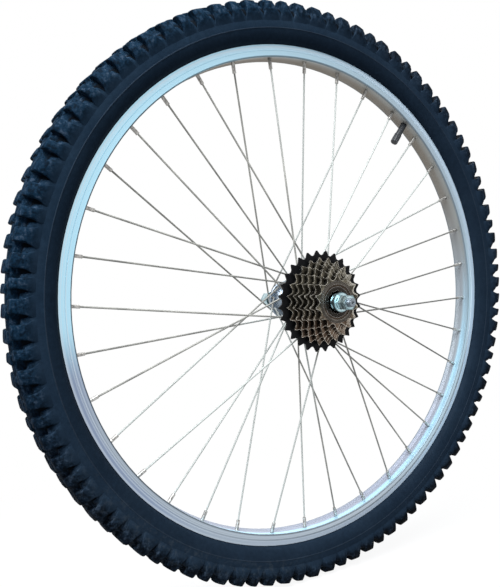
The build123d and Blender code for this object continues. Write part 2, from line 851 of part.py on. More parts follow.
# Freewheel inner body: screwed on the hub's boss, with pockets for two pawls and a tool recess
pocket_floor = pawl_pivot_radius * cos(radians(pawl_fold)) - pawl_heel_radius - pawl_pocket_gap
pocket_end = folded_tip_angle() + pawl_pocket_lead / 2
pocket_top = ratchet_root_radius / cos(radians(pocket_end / 2))
with BuildPart() as freewheel_inner_body:
    with BuildSketch(across(boss_shoulder_y)):
        Circle(inner_body_radius)
    extrude(amount=boss_shoulder_y - ratchet_front_y - race_gap)
    with BuildSketch(across(ratchet_front_y + race_gap)):
        Circle(inner_front_radius)
    extrude(amount=ratchet_front_y + race_gap - body_front_y)
    with BuildSketch(across(boss_shoulder_y)):
        Circle(boss_radius + thread_gap)
    extrude(amount=boss_shoulder_y - hub_front_y, mode=Mode.SUBTRACT)
    with BuildSketch(across(hub_front_y)):
        Circle(tool_recess_radius)
        with PolarLocations(tool_recess_radius, tool_splines):
            Rectangle(2 * tool_spline_depth, tool_spline_width)
    extrude(amount=hub_front_y - body_front_y, mode=Mode.SUBTRACT)
    with BuildSketch(across(pawl_middle_y + pawl_width / 2 + race_gap)):
        for angle in pawl_angles:
            with Locations(flat_polar(pawl_pivot_radius, angle)):
                Circle(pawl_heel_radius + running_gap)
            Polygon(
                flat_polar(pawl_pivot_radius, angle - pawl_pocket_lead),
                flat_polar(pocket_floor, angle),
                flat_polar(pocket_floor, angle + pocket_end / 3),
                flat_polar(pocket_floor, angle + pocket_end * 2 / 3),
                flat_polar(pocket_floor, angle + pocket_end),
                flat_polar(pocket_top, angle + pocket_end),
                flat_polar(pocket_top, angle + pocket_end / 2),
                flat_polar(pocket_top, angle - pawl_pocket_lead),
                align=None,
            )
    extrude(amount=pawl_width + 2 * race_gap, mode=Mode.SUBTRACT)
    with BuildSketch(across(pawl_middle_y + spring_slot_width / 2)):
        Circle(ratchet_root_radius)
        Circle(spring_slot_floor, mode=Mode.SUBTRACT)
    extrude(amount=spring_slot_width, mode=Mode.SUBTRACT)

# Adjusting cone: a threaded ring with holes for a pin tool, which holds the two bodies together
with BuildPart() as freewheel_adjusting_cone:
    with BuildSketch(across(body_front_y + adjusting_cone_height - race_gap)):
        Circle(adjusting_cone_radius)
        Circle(inner_front_radius + thread_gap, mode=Mode.SUBTRACT)
    extrude(amount=adjusting_cone_height - race_gap)
    with BuildSketch(across(body_front_y + adjusting_cone_hole_depth)):
        with PolarLocations((inner_front_radius + adjusting_cone_radius) / 2, adjusting_cone_holes):
            Circle(adjusting_cone_hole_radius)
    extrude(amount=adjusting_cone_hole_depth, mode=Mode.SUBTRACT)


def pawl(angle):
    """A pawl: round heel in its socket, tip against a ratchet tooth, slotted for the ring spring."""
    tip_angle = angle + pawl_reach_angle - pawl_face_gap
    with BuildPart() as lever:
        with BuildSketch(across(pawl_middle_y + pawl_width / 2)):
            with Locations(flat_polar(pawl_pivot_radius, angle)):
                Circle(pawl_heel_radius)
            Polygon(
                flat_polar(pawl_tip_inner, tip_angle),
                flat_polar(pawl_tip_outer, tip_angle),
                flat_polar((pawl_tip_inner + pawl_tip_outer) / 2, tip_angle - pawl_tip_bevel),
                align=None,
            )
            make_hull()
        extrude(amount=pawl_width)
        with BuildSketch(across(pawl_middle_y + spring_slot_width / 2)):
            Circle(ratchet_root_radius)
            Circle(spring_slot_floor, mode=Mode.SUBTRACT)
        extrude(amount=spring_slot_width, mode=Mode.SUBTRACT)
    return lever


freewheel_pawl_a, freewheel_pawl_b = [pawl(angle) for angle in pawl_angles]

# Ring spring of round wire in the pawls' slots, split at one place
with BuildPart() as pawl_spring:
    with BuildSketch(Plane.XY):
        with Locations((spring_ring_radius, pawl_middle_y)):
            Circle(spring_wire_radius)
    revolve(axis=Axis.Y, revolution_arc=360 - spring_split_angle)

pieces = {
    "axle": axle,
    "drive_cone": drive_cone,
    "left_cone": left_cone,
    "drive_bearing_balls": drive_bearing_balls,
    "left_bearing_balls": left_bearing_balls,
    "drive_axle_spacer": drive_axle_spacer,
    "left_axle_spacer": left_axle_spacer,
    "drive_lock_washer": drive_lock_washer,
    "left_lock_washer": left_lock_washer,
    "drive_locknut": drive_locknut,
    "left_locknut": left_locknut,
    "drive_axle_washer": drive_axle_washer,
    "left_axle_washer": left_axle_washer,
    "drive_axle_nut": drive_axle_nut,
    "left_axle_nut": left_axle_nut,
    "drive_bearing_cup": drive_bearing_cup,
    "left_bearing_cup": left_bearing_cup,
    "drive_dust_cap": drive_dust_cap,
    "left_dust_cap": left_dust_cap,
    "hub_shell": hub_shell,
    "drive_spokes": drive_spokes,
    "left_spokes": left_spokes,
    "spoke_nipples": spoke_nipples,
    "rim": rim,
    "rim_tape": rim_tape,
    "inner_tube": inner_tube,
    "valve_core": valve_core,
    "valve_pin": valve_pin,
    "valve_cap": valve_cap,
    "tyre": tyre,
    "freewheel_inner_body": freewheel_inner_body,
    "freewheel_outer_body": freewheel_outer_body,
    "freewheel_adjusting_cone": freewheel_adjusting_cone,
    "freewheel_pawl_a": freewheel_pawl_a,
    "freewheel_pawl_b": freewheel_pawl_b,
    "pawl_spring": pawl_spring,
    "sprocket_spacers": sprocket_spacers,
}
for teeth, toothed in zip(sprocket_teeth, sprockets):
    pieces[f"sprocket_{teeth}t"] = toothed

os.makedirs("parts", exist_ok=True)
for node, piece in pieces.items():
    piece.part.label = node
    export_step(piece.part, f"parts/{node}.step")
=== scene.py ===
from math import asin, cos, degrees, pi, radians, sin, sqrt

import bpy
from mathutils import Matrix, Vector


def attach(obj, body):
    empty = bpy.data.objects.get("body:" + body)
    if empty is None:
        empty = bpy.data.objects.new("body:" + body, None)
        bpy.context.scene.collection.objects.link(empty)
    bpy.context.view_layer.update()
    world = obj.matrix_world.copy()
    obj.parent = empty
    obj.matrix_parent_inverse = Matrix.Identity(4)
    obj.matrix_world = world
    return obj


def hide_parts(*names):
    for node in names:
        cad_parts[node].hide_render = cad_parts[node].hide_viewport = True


# A rear bicycle wheel with a knobby tyre, seen from its drive side.
# Sizes are in millimetres. MM turns them into the scene's metres, and PER_METRE turns places back.
# Angles around the axle run from +X towards +Z.
MM = 0.001
PER_METRE = 1000.0
SIDES = ("drive", "left")

# Camera
VIEW_AZIMUTH = -35.066
VIEW_ELEVATION = 4.094
VIEW_DISTANCE = 776.6
VIEW_TARGET = (-2.05, 0.0, -32.09)
SENSOR = 36.0
LENS = 40.316
SHIFT_X = -0.0905
SHIFT_Y = 0.0586
CLIP_START = 10.0

# Direction of the sky light, and the angles around the axle where the spokes get a painted reflection of
# it
SKY_SIDE = (-0.90, -0.30, 0.32)
SKY_LEANS = (66.0, 238.0)

# Floor, in metres
FLOOR_SIZE = 12.0
FLOOR_GAP = 0.0005

# Rim: half its width, and the radii of its dark corner and of the step inside the brake track
RIM_HALF_WIDTH = 12.4
BED_CORNER = 273.4
TRACK_INNER = 278.8

# Tyre casing, as the solid has it
CASING_CENTRE = 303.0
CASING_RADIUS = 23.0
CASING_WALL = 2.3
CASING_START = 288.0
BEAD_FOOT = 279.6
BEAD_TOP = 285.5
BEAD_OUTER_Y = 10.3
BEAD_WIDTH = 3.6
UNDERTREAD = 1.8

# Fine line on the sidewall, with the angles in degrees where its section is drawn
WALL_LINE_ANGLE = -9.0
WALL_LINE_HALF = 1.0
WALL_LINE_STEPS = (-1.6, -0.9, 0.0, 0.9, 1.6)
WALL_LINE_HEIGHT = 0.3
WALL_LINE_RADIUS = 299.4

# Tread layout, as the solid has it
PITCHES = 32
LARGE_SHARE = 0.362
LARGE_FILL = 0.66
SMALL_FILL = 0.62
BLOCK_FILL = 0.54
TREAD_PHASE = -2.2
CROWN_LAG = 0.9
TREAD_RADIUS = 330.0

# Places of the crown blocks along the axle
SIDE_BLOCK = (1.3, 8.6)
MIDDLE_BLOCK = (-6.2, 6.2)

# Radii where the shoulder knobs begin, and between which their sides turn into their tops
KNOB_FOOT = 308.0
KNOB_TOP_START = 321.0
KNOB_TOP_END = 326.0

# Knob edges: each pair of the rounding is a share of the edge's width and how far the knob drops there
KNOB_EDGE = 1.5
KNOB_ROUNDING = ((0.0, 1.1), (0.4, 0.4), (1.0, 0.1))
TOP_FALL = 1.3

# Knob roots, hidden in the casing, and the point where each root's underside is closed
KNOB_ROOT_SPREAD = 1.02
KNOB_ROOT_DEPTH = 0.9
KNOB_FAN_RADIUS = CASING_CENTRE + CASING_RADIUS * 0.7
KNOB_FAN_DEPTH = 1.6

# Low ramp at one end of each shoulder knob, in shares of the knob's half length and height
APRON_REACH = 0.7
APRON_FOOT_SPREAD = 1.05
APRON_OVERLAP = 0.8
APRON_ROOT_OVERLAP = 0.78
APRON_HEIGHT = 0.74
APRON_END_HEIGHT = 0.4

# Mesh steps of the tyre, and the angle in degrees above which its edges stay sharp
OUTSIDE_STEPS = 54
INSIDE_STEPS = 24
CASING_STEPS = 360
SHARP_ANGLE = 38.0

# Places of a colour mix's factor, two colours and result among the sockets of its node
MIX_FACTOR = 0
MIX_FIRST = 6
MIX_SECOND = 7
MIX_RESULT = 2

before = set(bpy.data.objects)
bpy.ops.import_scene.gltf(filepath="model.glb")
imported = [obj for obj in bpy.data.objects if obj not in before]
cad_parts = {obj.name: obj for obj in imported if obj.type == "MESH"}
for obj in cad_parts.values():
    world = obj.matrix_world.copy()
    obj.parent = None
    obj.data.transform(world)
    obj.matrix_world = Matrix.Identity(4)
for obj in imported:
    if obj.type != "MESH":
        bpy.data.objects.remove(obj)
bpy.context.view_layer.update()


class Field:
    """A shader value that takes part in plain arithmetic. Each operation adds a Math node."""

    def __init__(self, finish, socket):
        self.finish = finish
        self.socket = socket

    def math(self, operation, *values):
        return self.finish.node("ShaderNodeMath", {"operation": operation}, dict(enumerate(values)))

    def __add__(self, other):
        return self.math("ADD", self, other)

    def __sub__(self, other):
        return self.math("SUBTRACT", self, other)

    def __rsub__(self, other):
        return self.math("SUBTRACT", other, self)

    def __mul__(self, other):
        return self.math("MULTIPLY", self, other)

    def __truediv__(self, other):
        return self.math("DIVIDE", self, other)

    def __pow__(self, other):
        return self.math("POWER", self, other)

    def __abs__(self):
        return self.math("ABSOLUTE", self)

    __radd__ = __add__
    __rmul__ = __mul__


class Finish:
    """A material and the nodes that make its look."""

    def __init__(self, name, constants=None):
        self.material = bpy.data.materials.new(name)
        self.material.use_nodes = True
        self.tree = self.material.node_tree
        self.shader = self.tree.nodes["Principled BSDF"]
        self.set(constants or {})

    def feed(self, socket, value):
        if isinstance(value, Field):
            self.tree.links.new(value.socket, socket)
        elif socket.type == "RGBA":
            socket.default_value = (*value, 1.0)
        else:
            socket.default_value = value

    def node(self, kind, settings=None, sockets=None, output=0):
        """Adds a node: its settings first, then the values or links of its sockets."""
        made = self.tree.nodes.new(kind)
        for key, value in (settings or {}).items():
            setattr(made, key, value)
        for key, value in (sockets or {}).items():
            self.feed(made.inputs[key], value)
        return Field(self, made.outputs[output])

    def set(self, sockets):
        for key, value in sockets.items():
            self.feed(self.shader.inputs[key], value)

    def place(self):
        """Places on the object, in metres."""
        return self.node("ShaderNodeTexCoord", output="Object")

    def axis(self, name):
        """Place along X, Y or Z, in metres."""
        return self.node("ShaderNodeSeparateXYZ", None, {0: self.place()}, name)

    def radius(self):
        """Distance from the axle's centre line, in millimetres."""
        x, z = self.axis("X"), self.axis("Z")
        return (x * x + z * z) ** 0.5 * PER_METRE

    def along(self):
        """Place along the axle, in millimetres."""
        return self.axis("Y") * PER_METRE

    def noise(self, size, detail=3.0, roughness=0.55):
        """Cloudy noise from 0 to 1 whose lumps are about this size, in millimetres."""
        return self.node(
            "ShaderNodeTexNoise", None,
            {"Vector": self.place(), "Scale": PER_METRE / size, "Detail": detail, "Roughness": roughness},
        )

    def lathe_noise(self, size, reach):
        """Noise that runs in rings around the axle, fine across them and long along them."""
        spun = self.node(
            "ShaderNodeCombineXYZ", None,
            {"X": self.radius() / size, "Y": self.along() / size, "Z": self.axis("Z") * reach},
        )
        return self.node("ShaderNodeTexNoise", None, {"Vector": spun, "Scale": 1.0, "Detail": 2.0})

    def smooth(self, value, low, high):
        """0 below low, 1 above high, with a soft change between."""
        return self.node(
            "ShaderNodeMapRange", {"interpolation_type": "SMOOTHSTEP"},
            {"Value": value, "From Min": low, "From Max": high},
        )

    def blend(self, factor, first, second):
        """One colour turning into another."""
        return self.node(
            "ShaderNodeMix", {"data_type": "RGBA"},
            {MIX_FACTOR: factor, MIX_FIRST: first, MIX_SECOND: second}, MIX_RESULT,
        )

    def dot(self, first, second):
        """How far two directions agree."""
        return self.node(
            "ShaderNodeVectorMath", {"operation": "DOT_PRODUCT"}, {0: first, 1: second}, "Value"
        )

    def edges(self, width):
        """1 along the sharp edges of the mesh, fading out over a width in millimetres."""
        rounded = self.node("ShaderNodeBevel", {"samples": 6}, {"Radius": width * MM})
        flat = self.node("ShaderNodeNewGeometry", output="True Normal")
        return 1 - self.smooth(self.dot(rounded, flat), 0.72, 0.98)

    def bump(self, height, strength, distance):
        """Fine relief, its depth in millimetres."""
        return self.node(
            "ShaderNodeBump", None, {"Height": height, "Strength": strength, "Distance": distance * MM}
        )


def tyre_rubber():
    """Black rubber with a cool bloom, dusty knobs and a fine wall line, a painted sky sheen on the upper
    left, painted highlights on the tread edges, and painted shade near the rim, on the lower right knobs
    and deep between the knobs.
    """
    rubber = Finish("tyre_rubber", {"Specular IOR Level": 0.02})
    radius, along = rubber.radius(), rubber.along()
    x, z = rubber.axis("X"), rubber.axis("Z")
    clouds = rubber.noise(38.0, 4.0)
    grain = rubber.noise(1.6, 3.0)
    specks = rubber.noise(4.5, 5.0, 0.7)
    mottle = rubber.smooth(rubber.noise(7.0, 4.0, 0.6), 0.60, 0.42)
    dust = rubber.smooth(rubber.noise(14.0, 6.0, 0.7), 0.52, 0.78)
    scuffs = rubber.smooth(rubber.noise(6.0, 6.0, 0.75), 0.48, 0.66) * rubber.smooth(radius, 294.0, 303.0)

    # Zones of the section, from the rim outwards
    band = 1 - rubber.smooth(radius, 298.0, WALL_LINE_RADIUS)
    line = 1 - rubber.smooth(abs(radius - WALL_LINE_RADIUS), 0.3, 0.8)
    knobs = rubber.smooth(radius, KNOB_FOOT, 319.0)
    tread = rubber.smooth(radius, 317.0, 325.0)
    above = ((radius - CASING_CENTRE) ** 2 + along * along) ** 0.5 - CASING_RADIUS
    depth = above - (radius - CASING_CENTRE) / CASING_RADIUS * UNDERTREAD
    gap = rubber.smooth(radius, KNOB_FOOT, 312.0) * (1 - rubber.smooth(radius, 318.5, 322.0))
    groove = gap * (1 - rubber.smooth(depth, 0.1, 0.8))

    # Zones around the wheel: scuffs at the lower left, painted shade at the lower right, and a painted sky
    # sheen on the upper left
    low_left = rubber.smooth(z, -0.10, -0.22) * rubber.smooth(x, 0.02, -0.06)
    low_right = rubber.smooth(z, 0.0, -0.15) * rubber.smooth(x, -0.02, 0.12)
    sky_side = rubber.smooth(x, 0.10, -0.10) * rubber.smooth(z, -0.20, 0.0)

    # Colours, each laid over the one before
    bloom = rubber.blend(clouds, (0.0058, 0.0120, 0.0220), (0.0150, 0.0265, 0.0420))
    # The knobs, in mottled patches, and the tread tops are painted darker
    worn = rubber.blend(knobs * (0.3 + 0.35 * mottle) + tread * 0.35, bloom, (0.0026, 0.0050, 0.0088))
    # Painted shade: the knobs at the lower right are painted near black
    oily = rubber.blend(low_right * knobs * 0.75, worn, (0.0012, 0.0012, 0.0014))
    # Painted reflection: a blue sky sheen on the upper left, strongest on the knobs
    cool = rubber.blend(sky_side * (0.15 + 0.3 * knobs), oily, (0.0014, 0.0165, 0.0370))
    dusty = rubber.blend(dust * 0.2, cool, (0.022, 0.046, 0.078))
    scuffed = rubber.blend(scuffs * low_left * 0.35, dusty, (0.044, 0.052, 0.060))
    # Painted highlight along the sharp edges of the tread
    edge_highlight = rubber.blend(rubber.edges(0.7) * tread * 0.4, scuffed, (0.038, 0.066, 0.098))
    # Painted shade: a darker band next to the rim
    shaded_band = rubber.blend(band * 0.35, edge_highlight, (0.004, 0.007, 0.012))
    marked = rubber.blend(line * 0.2, shaded_band, (0.040, 0.046, 0.054))
    grime = rubber.smooth(specks, 0.52, 0.40) * (0.12 + 0.53 * knobs)
    grimy = rubber.blend(grime, marked, (0.0006, 0.0008, 0.0012))
    flecks = rubber.smooth(specks, 0.53, 0.66) * (0.05 + 0.42 * knobs)
    flecked = rubber.blend(flecks, grimy, (0.040, 0.056, 0.080))
    rubber.set({
        # Painted shade, near black, in the grooves between the knob feet
        "Base Color": rubber.blend(groove * 0.9, flecked, (0.0015, 0.002, 0.003)),
        "Roughness": 0.56 + 0.16 * clouds + 0.1 * tread - 0.08 * band,
        "Normal": rubber.bump(grain + mottle * knobs * 1.5, 0.45, 0.3),
    })
    return rubber.material


def rim_alloy():
    """Silver aluminium: turned lines on the brake tracks, painted reflections that change around the
    wheel, painted shade in the corners and at the track's step, and a duller spoke bed with painted
    reflections, warm at the top.
    """
    alloy = Finish("rim_alloy")
    radius, along = alloy.radius(), alloy.along()
    height = alloy.axis("Z") * PER_METRE
    rings = alloy.lathe_noise(0.16, 3.0)
    broad = alloy.lathe_noise(1.7, 2.0)
    clouds = alloy.noise(45.0, 4.0)

    # Zones of the section and around the wheel
    front = alloy.smooth(alloy.axis("X") * PER_METRE, -260.0, 200.0)
    bed = 1 - alloy.smooth(abs(along), 9.0, 11.4)
    flank = 1 - bed
    inner = 1 - alloy.smooth(radius, TRACK_INNER - 1.4, TRACK_INNER)
    low_inner = inner * alloy.smooth(height, -60.0, -150.0) * (1 - alloy.smooth(front, 0.5, 0.95))
    step = 1 - alloy.smooth(abs(radius - TRACK_INNER), 0.6, 1.1)
    step_shade = step * front * alloy.smooth(height, 0.0, -120.0)
    corner = 1 - alloy.smooth(radius, BED_CORNER, BED_CORNER + 0.8)
    corner_shade = corner * (1 - 0.25 * alloy.smooth(front, 0.02, 0.2))
    dull = 1 - alloy.smooth(radius, BED_CORNER, BED_CORNER + 1.6)
    track = alloy.smooth(radius, TRACK_INNER - 1.3, TRACK_INNER + 1.7)

    # Colours of the rim's sides, painted reflections that change around the wheel: pale cyan high on the
    # left and darker low on the left, lighter and bluer low on the right with a bright cyan inner track,
    # and painted shade at the bottom
    edge = alloy.blend(alloy.smooth(height, 90.0, -60.0), (0.40, 0.50, 0.58), (0.46, 0.60, 0.72))
    right = alloy.blend(inner * alloy.smooth(height, 120.0, -20.0), edge, (0.48, 0.68, 0.80))
    left = alloy.blend(alloy.smooth(height, -15.0, -75.0), (0.44, 0.71, 0.85), (0.25, 0.31, 0.43))
    sides = alloy.blend(front, left, right)
    painted_sides = alloy.blend(alloy.smooth(height, -190.0, -265.0), sides, (0.36, 0.42, 0.49))
    # Painted shade on the lower inner track, away from the right side
    shadowed = alloy.blend(low_inner * 0.8, painted_sides, (0.22, 0.27, 0.33))
    lined = alloy.blend(alloy.smooth(broad, 0.46, 0.66) * 0.5, shadowed, (0.62, 0.70, 0.77))
    # Painted shade at the step in the brake track and along the inner corner
    shaded = alloy.blend(step_shade * 0.9 + corner_shade * 0.9, lined, (0.06, 0.075, 0.09))

    # Colours of the spoke bed, painted reflections: warm at the top, grey on the upper drive half, bluish
    # grey at the bottom and bright cyan low on the drive half, under random grey patches
    warm = alloy.blend(alloy.smooth(height, 0.0, 190.0), (0.31, 0.35, 0.39), (0.25, 0.22, 0.18))
    upper_half = alloy.smooth(along, 3.0, -7.0) * alloy.smooth(height, 0.0, 120.0)
    upper = alloy.blend(upper_half * 0.8, warm, (0.36, 0.38, 0.37))
    low = alloy.blend(alloy.smooth(height, -60.0, -200.0), upper, (0.30, 0.33, 0.41))
    drive_half = alloy.smooth(along, 1.0, -4.0) * alloy.smooth(height, 90.0, -90.0)
    bright = alloy.blend(drive_half, low, (0.40, 0.64, 0.78))
    worn = alloy.blend(clouds * 0.4, bright, (0.34, 0.35, 0.36))
    alloy.set({
        "Base Color": alloy.blend(bed, shaded, worn),
        "Metallic": 1 - 0.75 * front * track * flank,
        "Roughness": 0.34 + 0.12 * rings + 0.26 * bed + 0.2 * dull * flank,
        "Normal": alloy.bump((rings + broad * 0.6) * flank, 0.10, 0.12),
    })
    return alloy.material


def plated_steel(name, light, dark, roughness, size):
    """Plated steel with faint cloudy tarnish and a fine drawn grain."""
    steel = Finish(name, {"Metallic": 1.0})
    clouds = steel.noise(size, 4.0)
    grain = steel.noise(0.35, 2.0)
    steel.set({
        "Base Color": steel.blend(steel.smooth(clouds, 0.35, 0.7), light, dark),
        "Roughness": roughness + 0.12 * clouds,
        "Normal": steel.bump(grain, 0.05, 0.06),
    })
    return steel.material


def spoke_steel():
    """Drawn steel wire, pale where it runs up to the right with a painted reflection of the sky, and dark
    at the far right with a painted dark reflection.
    """
    steel = Finish("spoke_steel", {"Metallic": 1.0})
    clouds = steel.noise(30.0, 4.0)
    radius = steel.radius()
    x, z = steel.axis("X") * PER_METRE, steel.axis("Z") * PER_METRE
    # Painted reflection of the sky on the spokes near these angles
    pale = sum(
        steel.smooth((x * cos(radians(lean)) + z * sin(radians(lean))) / radius, 0.78, 0.84)
        for lean in SKY_LEANS
    )
    drawn = steel.blend(steel.smooth(clouds, 0.35, 0.7), (0.36, 0.36, 0.34), (0.24, 0.24, 0.23))
    # Painted dark reflection on the spokes at the far right
    dark_reflection_right = steel.blend(steel.smooth(x / radius, 0.80, 0.96) * 0.6, drawn, (0.16, 0.16, 0.155))
    steel.set({
        "Base Color": steel.blend(pale, dark_reflection_right, (0.45, 0.47, 0.46)),
        "Roughness": 0.78 + 0.12 * clouds,
    })
    return steel.material


def zinc_plate():
    """Bright zinc with a cool tint, in light and dark rings."""
    zinc = Finish("zinc_plate", {"Metallic": 1.0})
    clouds = zinc.noise(7.0, 4.0)
    rings = zinc.smooth(zinc.lathe_noise(3.5, 0.0), 0.44, 0.58)
    bright = zinc.blend(zinc.smooth(clouds, 0.35, 0.7), (0.66, 0.82, 0.86), (0.36, 0.50, 0.54))
    zinc.set({
        "Base Color": zinc.blend(rings * 0.75, bright, (0.10, 0.17, 0.19)),
        "Roughness": 0.28 + 0.12 * clouds,
        "Normal": zinc.bump(zinc.noise(0.35, 2.0), 0.05, 0.06),
    })
    return zinc.material


def threaded_steel():
    """Zinc-plated axle steel whose thread shows as fine rings."""
    steel = Finish("axle_thread", {"Metallic": 1.0})
    turn = steel.along() * (2 * pi)
    thread = turn.math("SINE", turn)
    clouds = steel.noise(6.0, 4.0)
    steel.set({
        "Base Color": steel.blend(thread * 0.5 + 0.5, (0.09, 0.11, 0.13), (0.24, 0.28, 0.32)),
        "Roughness": 0.28 + 0.15 * clouds,
        "Normal": steel.bump(thread, 0.7, 0.5),
    })
    return steel.material


def sprocket_bronze():
    """Brown-bronze plated steel, dark with oil and redder towards the bottom, with painted shade on the
    tooth walls and bright edges, worn bare and painted as highlights.
    """
    plate = Finish("sprocket_bronze", {"Metallic": 1.0})
    patches = plate.noise(9.0, 5.0, 0.65)
    grime = plate.smooth(plate.noise(5.0, 4.0), 0.42, 0.70)
    low = plate.smooth(plate.axis("Z") * PER_METRE, 0.0, -30.0)
    brown = plate.blend(plate.smooth(patches, 0.36, 0.66), (0.045, 0.040, 0.030), (0.210, 0.190, 0.145))
    # Redder towards the bottom
    reddish_low = plate.blend(low * 0.6, brown, (0.140, 0.085, 0.060))
    oily = plate.blend(grime * 0.8, reddish_low, (0.016, 0.013, 0.010))
    normal = plate.node("ShaderNodeNewGeometry", output="Normal")
    sideways = plate.node("ShaderNodeSeparateXYZ", None, {0: normal}, "Y")
    # Painted shade on the tooth walls, the faces that do not face along the axle
    flanks = 1 - plate.smooth(abs(sideways), 0.3, 0.8)
    walls_shaded = plate.blend(flanks * 0.7, oily, (0.020, 0.018, 0.015))
    shine = plate.smooth(plate.noise(4.0, 3.0), 0.32, 0.54)
    plate.set({
        # Bright edges in patches, worn bare and painted as highlights
        "Base Color": plate.blend(plate.edges(1.3) * shine, walls_shaded, (0.98, 0.94, 0.84)),
        "Roughness": 0.30 + 0.22 * grime,
        "Normal": plate.bump(plate.noise(0.7, 3.0), 0.2, 0.1),
    })
    return plate.material


def black_oxide():
    """Black-finished steel with an oily sheen."""
    black = Finish("sprocket_black", {"Metallic": 0.6, "Specular IOR Level": 0.1})
    clouds = black.noise(7.0, 4.0)
    black.set({
        "Base Color": black.blend(clouds, (0.003, 0.003, 0.0035), (0.012, 0.012, 0.013)),
        "Roughness": 0.34 + 0.2 * clouds,
        "Normal": black.bump(black.noise(0.8, 3.0), 0.2, 0.1),
    })
    return black.material


def turned_steel(name, light, dark, size):
    """Dark turned steel whose faces show concentric tool lines, with painted highlights along its edges.
    """
    steel = Finish(name, {"Metallic": 1.0})
    rings = steel.smooth(steel.lathe_noise(size, 6.0), 0.38, 0.66)
    grime = steel.smooth(steel.noise(7.0, 4.0), 0.40, 0.72)
    lined = steel.blend(rings, dark, light)
    dirty = steel.blend(grime * 0.6, lined, (0.030, 0.024, 0.018))
    steel.set({
        # Painted highlights along the edges
        "Base Color": steel.blend(steel.edges(0.45) * 0.85, dirty, (0.62, 0.60, 0.60)),
        "Roughness": 0.30 + 0.2 * grime,
        "Normal": steel.bump(rings, 0.2, 0.15),
    })
    return steel.material


def moulded_black(name, roughness):
    """Plain black rubber or plastic with a faint moulded grain."""
    black = Finish(name, {"Specular IOR Level": 0.4})
    clouds = black.noise(4.0, 3.0)
    black.set({
        "Base Color": black.blend(clouds, (0.006, 0.008, 0.010), (0.018, 0.021, 0.025)),
        "Roughness": roughness + 0.15 * clouds,
        "Normal": black.bump(black.noise(0.5, 2.0), 0.2, 0.1),
    })
    return black.material


def brass():
    """Turned brass."""
    metal = Finish("valve_brass", {"Metallic": 1.0})
    clouds = metal.noise(3.0, 3.0)
    metal.set({
        "Base Color": metal.blend(clouds, (0.50, 0.36, 0.14), (0.68, 0.52, 0.24)),
        "Roughness": 0.28 + 0.12 * clouds,
    })
    return metal.material


def dress(material, *nodes):
    """Gives a material to CAD nodes."""
    for node in nodes:
        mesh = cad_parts[node].data
        mesh.materials.clear()
        mesh.materials.append(material)


def section_point(radius, y, angle):
    """A point of the wheel, in metres."""
    return Vector((radius * cos(angle), y, radius * sin(angle))) * MM


class Skin:
    """Collects the vertices and faces of one mesh piece."""

    def __init__(self):
        self.points = []
        self.faces = []

    def grid(self, rows, closed_rows=False, closed_columns=False):
        """Adds a grid of points and joins its neighbours with quads."""
        start = len(self.points)
        height, width = len(rows), len(rows[0])
        for row in rows:
            self.points.extend(row)
        for r in range(height if closed_rows else height - 1):
            for c in range(width if closed_columns else width - 1):
                below = (r + 1) % height
                beside = (c + 1) % width
                self.faces.append((
                    start + r * width + c, start + r * width + beside,
                    start + below * width + beside, start + below * width + c,
                ))
        return start

    def cap(self, rows, start, centre):
        """Closes the underside of a grid with a fan to one point."""
        height, width = len(rows), len(rows[0])
        rim = [start + c for c in range(width)]
        rim += [start + r * width + width - 1 for r in range(1, height)]
        rim += [start + (height - 1) * width + c for c in range(width - 2, -1, -1)]
        rim += [start + r * width for r in range(height - 2, 0, -1)]
        self.points.append(centre)
        middle = len(self.points) - 1
        for first, second in zip(rim, rim[1:] + rim[:1]):
            self.faces.append((second, first, middle))

    def piece(self, name, material, body, sharp):
        """Makes the Blender object and lets it ride on its body."""
        mesh = bpy.data.meshes.new(name)
        mesh.from_pydata(self.points, [], self.faces)
        mesh.materials.append(material)
        mesh.shade_smooth()
        mesh.set_sharp_from_angle(angle=radians(sharp))
        made = bpy.data.objects.new(name, mesh)
        bpy.context.scene.collection.objects.link(made)
        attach(made, body)
        return made


def casing_section():
    """The casing's closed section: outside from bead to bead, then back along the inside."""
    first = -degrees(asin((CASING_CENTRE - CASING_START) / CASING_RADIUS))
    span = 180 - 2 * first
    section = [(BEAD_FOOT, -BEAD_OUTER_Y), (BEAD_TOP, -BEAD_OUTER_Y), (BEAD_TOP, -RIM_HALF_WIDTH)]
    steps = [first + i * span / OUTSIDE_STEPS for i in range(OUTSIDE_STEPS + 1)]
    line = [WALL_LINE_ANGLE + step for step in WALL_LINE_STEPS]
    line += [180 - angle for angle in line]
    for angle in sorted(steps + line):
        near = min(abs(angle - WALL_LINE_ANGLE), abs(180 - angle - WALL_LINE_ANGLE))
        lift = WALL_LINE_HEIGHT if near < WALL_LINE_HALF else 0.0
        slant = radians(angle)
        thick = UNDERTREAD * sin(slant) + sqrt(CASING_RADIUS**2 - (UNDERTREAD * cos(slant)) ** 2)
        reach = max(CASING_RADIUS + lift, thick)
        section.append((CASING_CENTRE + reach * sin(slant), -reach * cos(slant)))
    section += [(BEAD_TOP, RIM_HALF_WIDTH), (BEAD_TOP, BEAD_OUTER_Y), (BEAD_FOOT, BEAD_OUTER_Y)]
    section.append((BEAD_FOOT, BEAD_OUTER_Y - BEAD_WIDTH))
    section.append((BEAD_TOP, BEAD_OUTER_Y - CASING_WALL))
    inner = CASING_RADIUS - CASING_WALL
    for i in range(INSIDE_STEPS + 1):
        slant = radians(180 - first - i * span / INSIDE_STEPS)
        section.append((CASING_CENTRE + inner * sin(slant), -inner * cos(slant)))
    section.append((BEAD_TOP, -BEAD_OUTER_Y + CASING_WALL))
    section.append((BEAD_FOOT, -BEAD_OUTER_Y + BEAD_WIDTH))
    return section


def height_over_casing(radius, y):
    """Distance of a knob's point from the casing's outside."""
    return sqrt((radius - CASING_CENTRE) ** 2 + y * y) - CASING_RADIUS


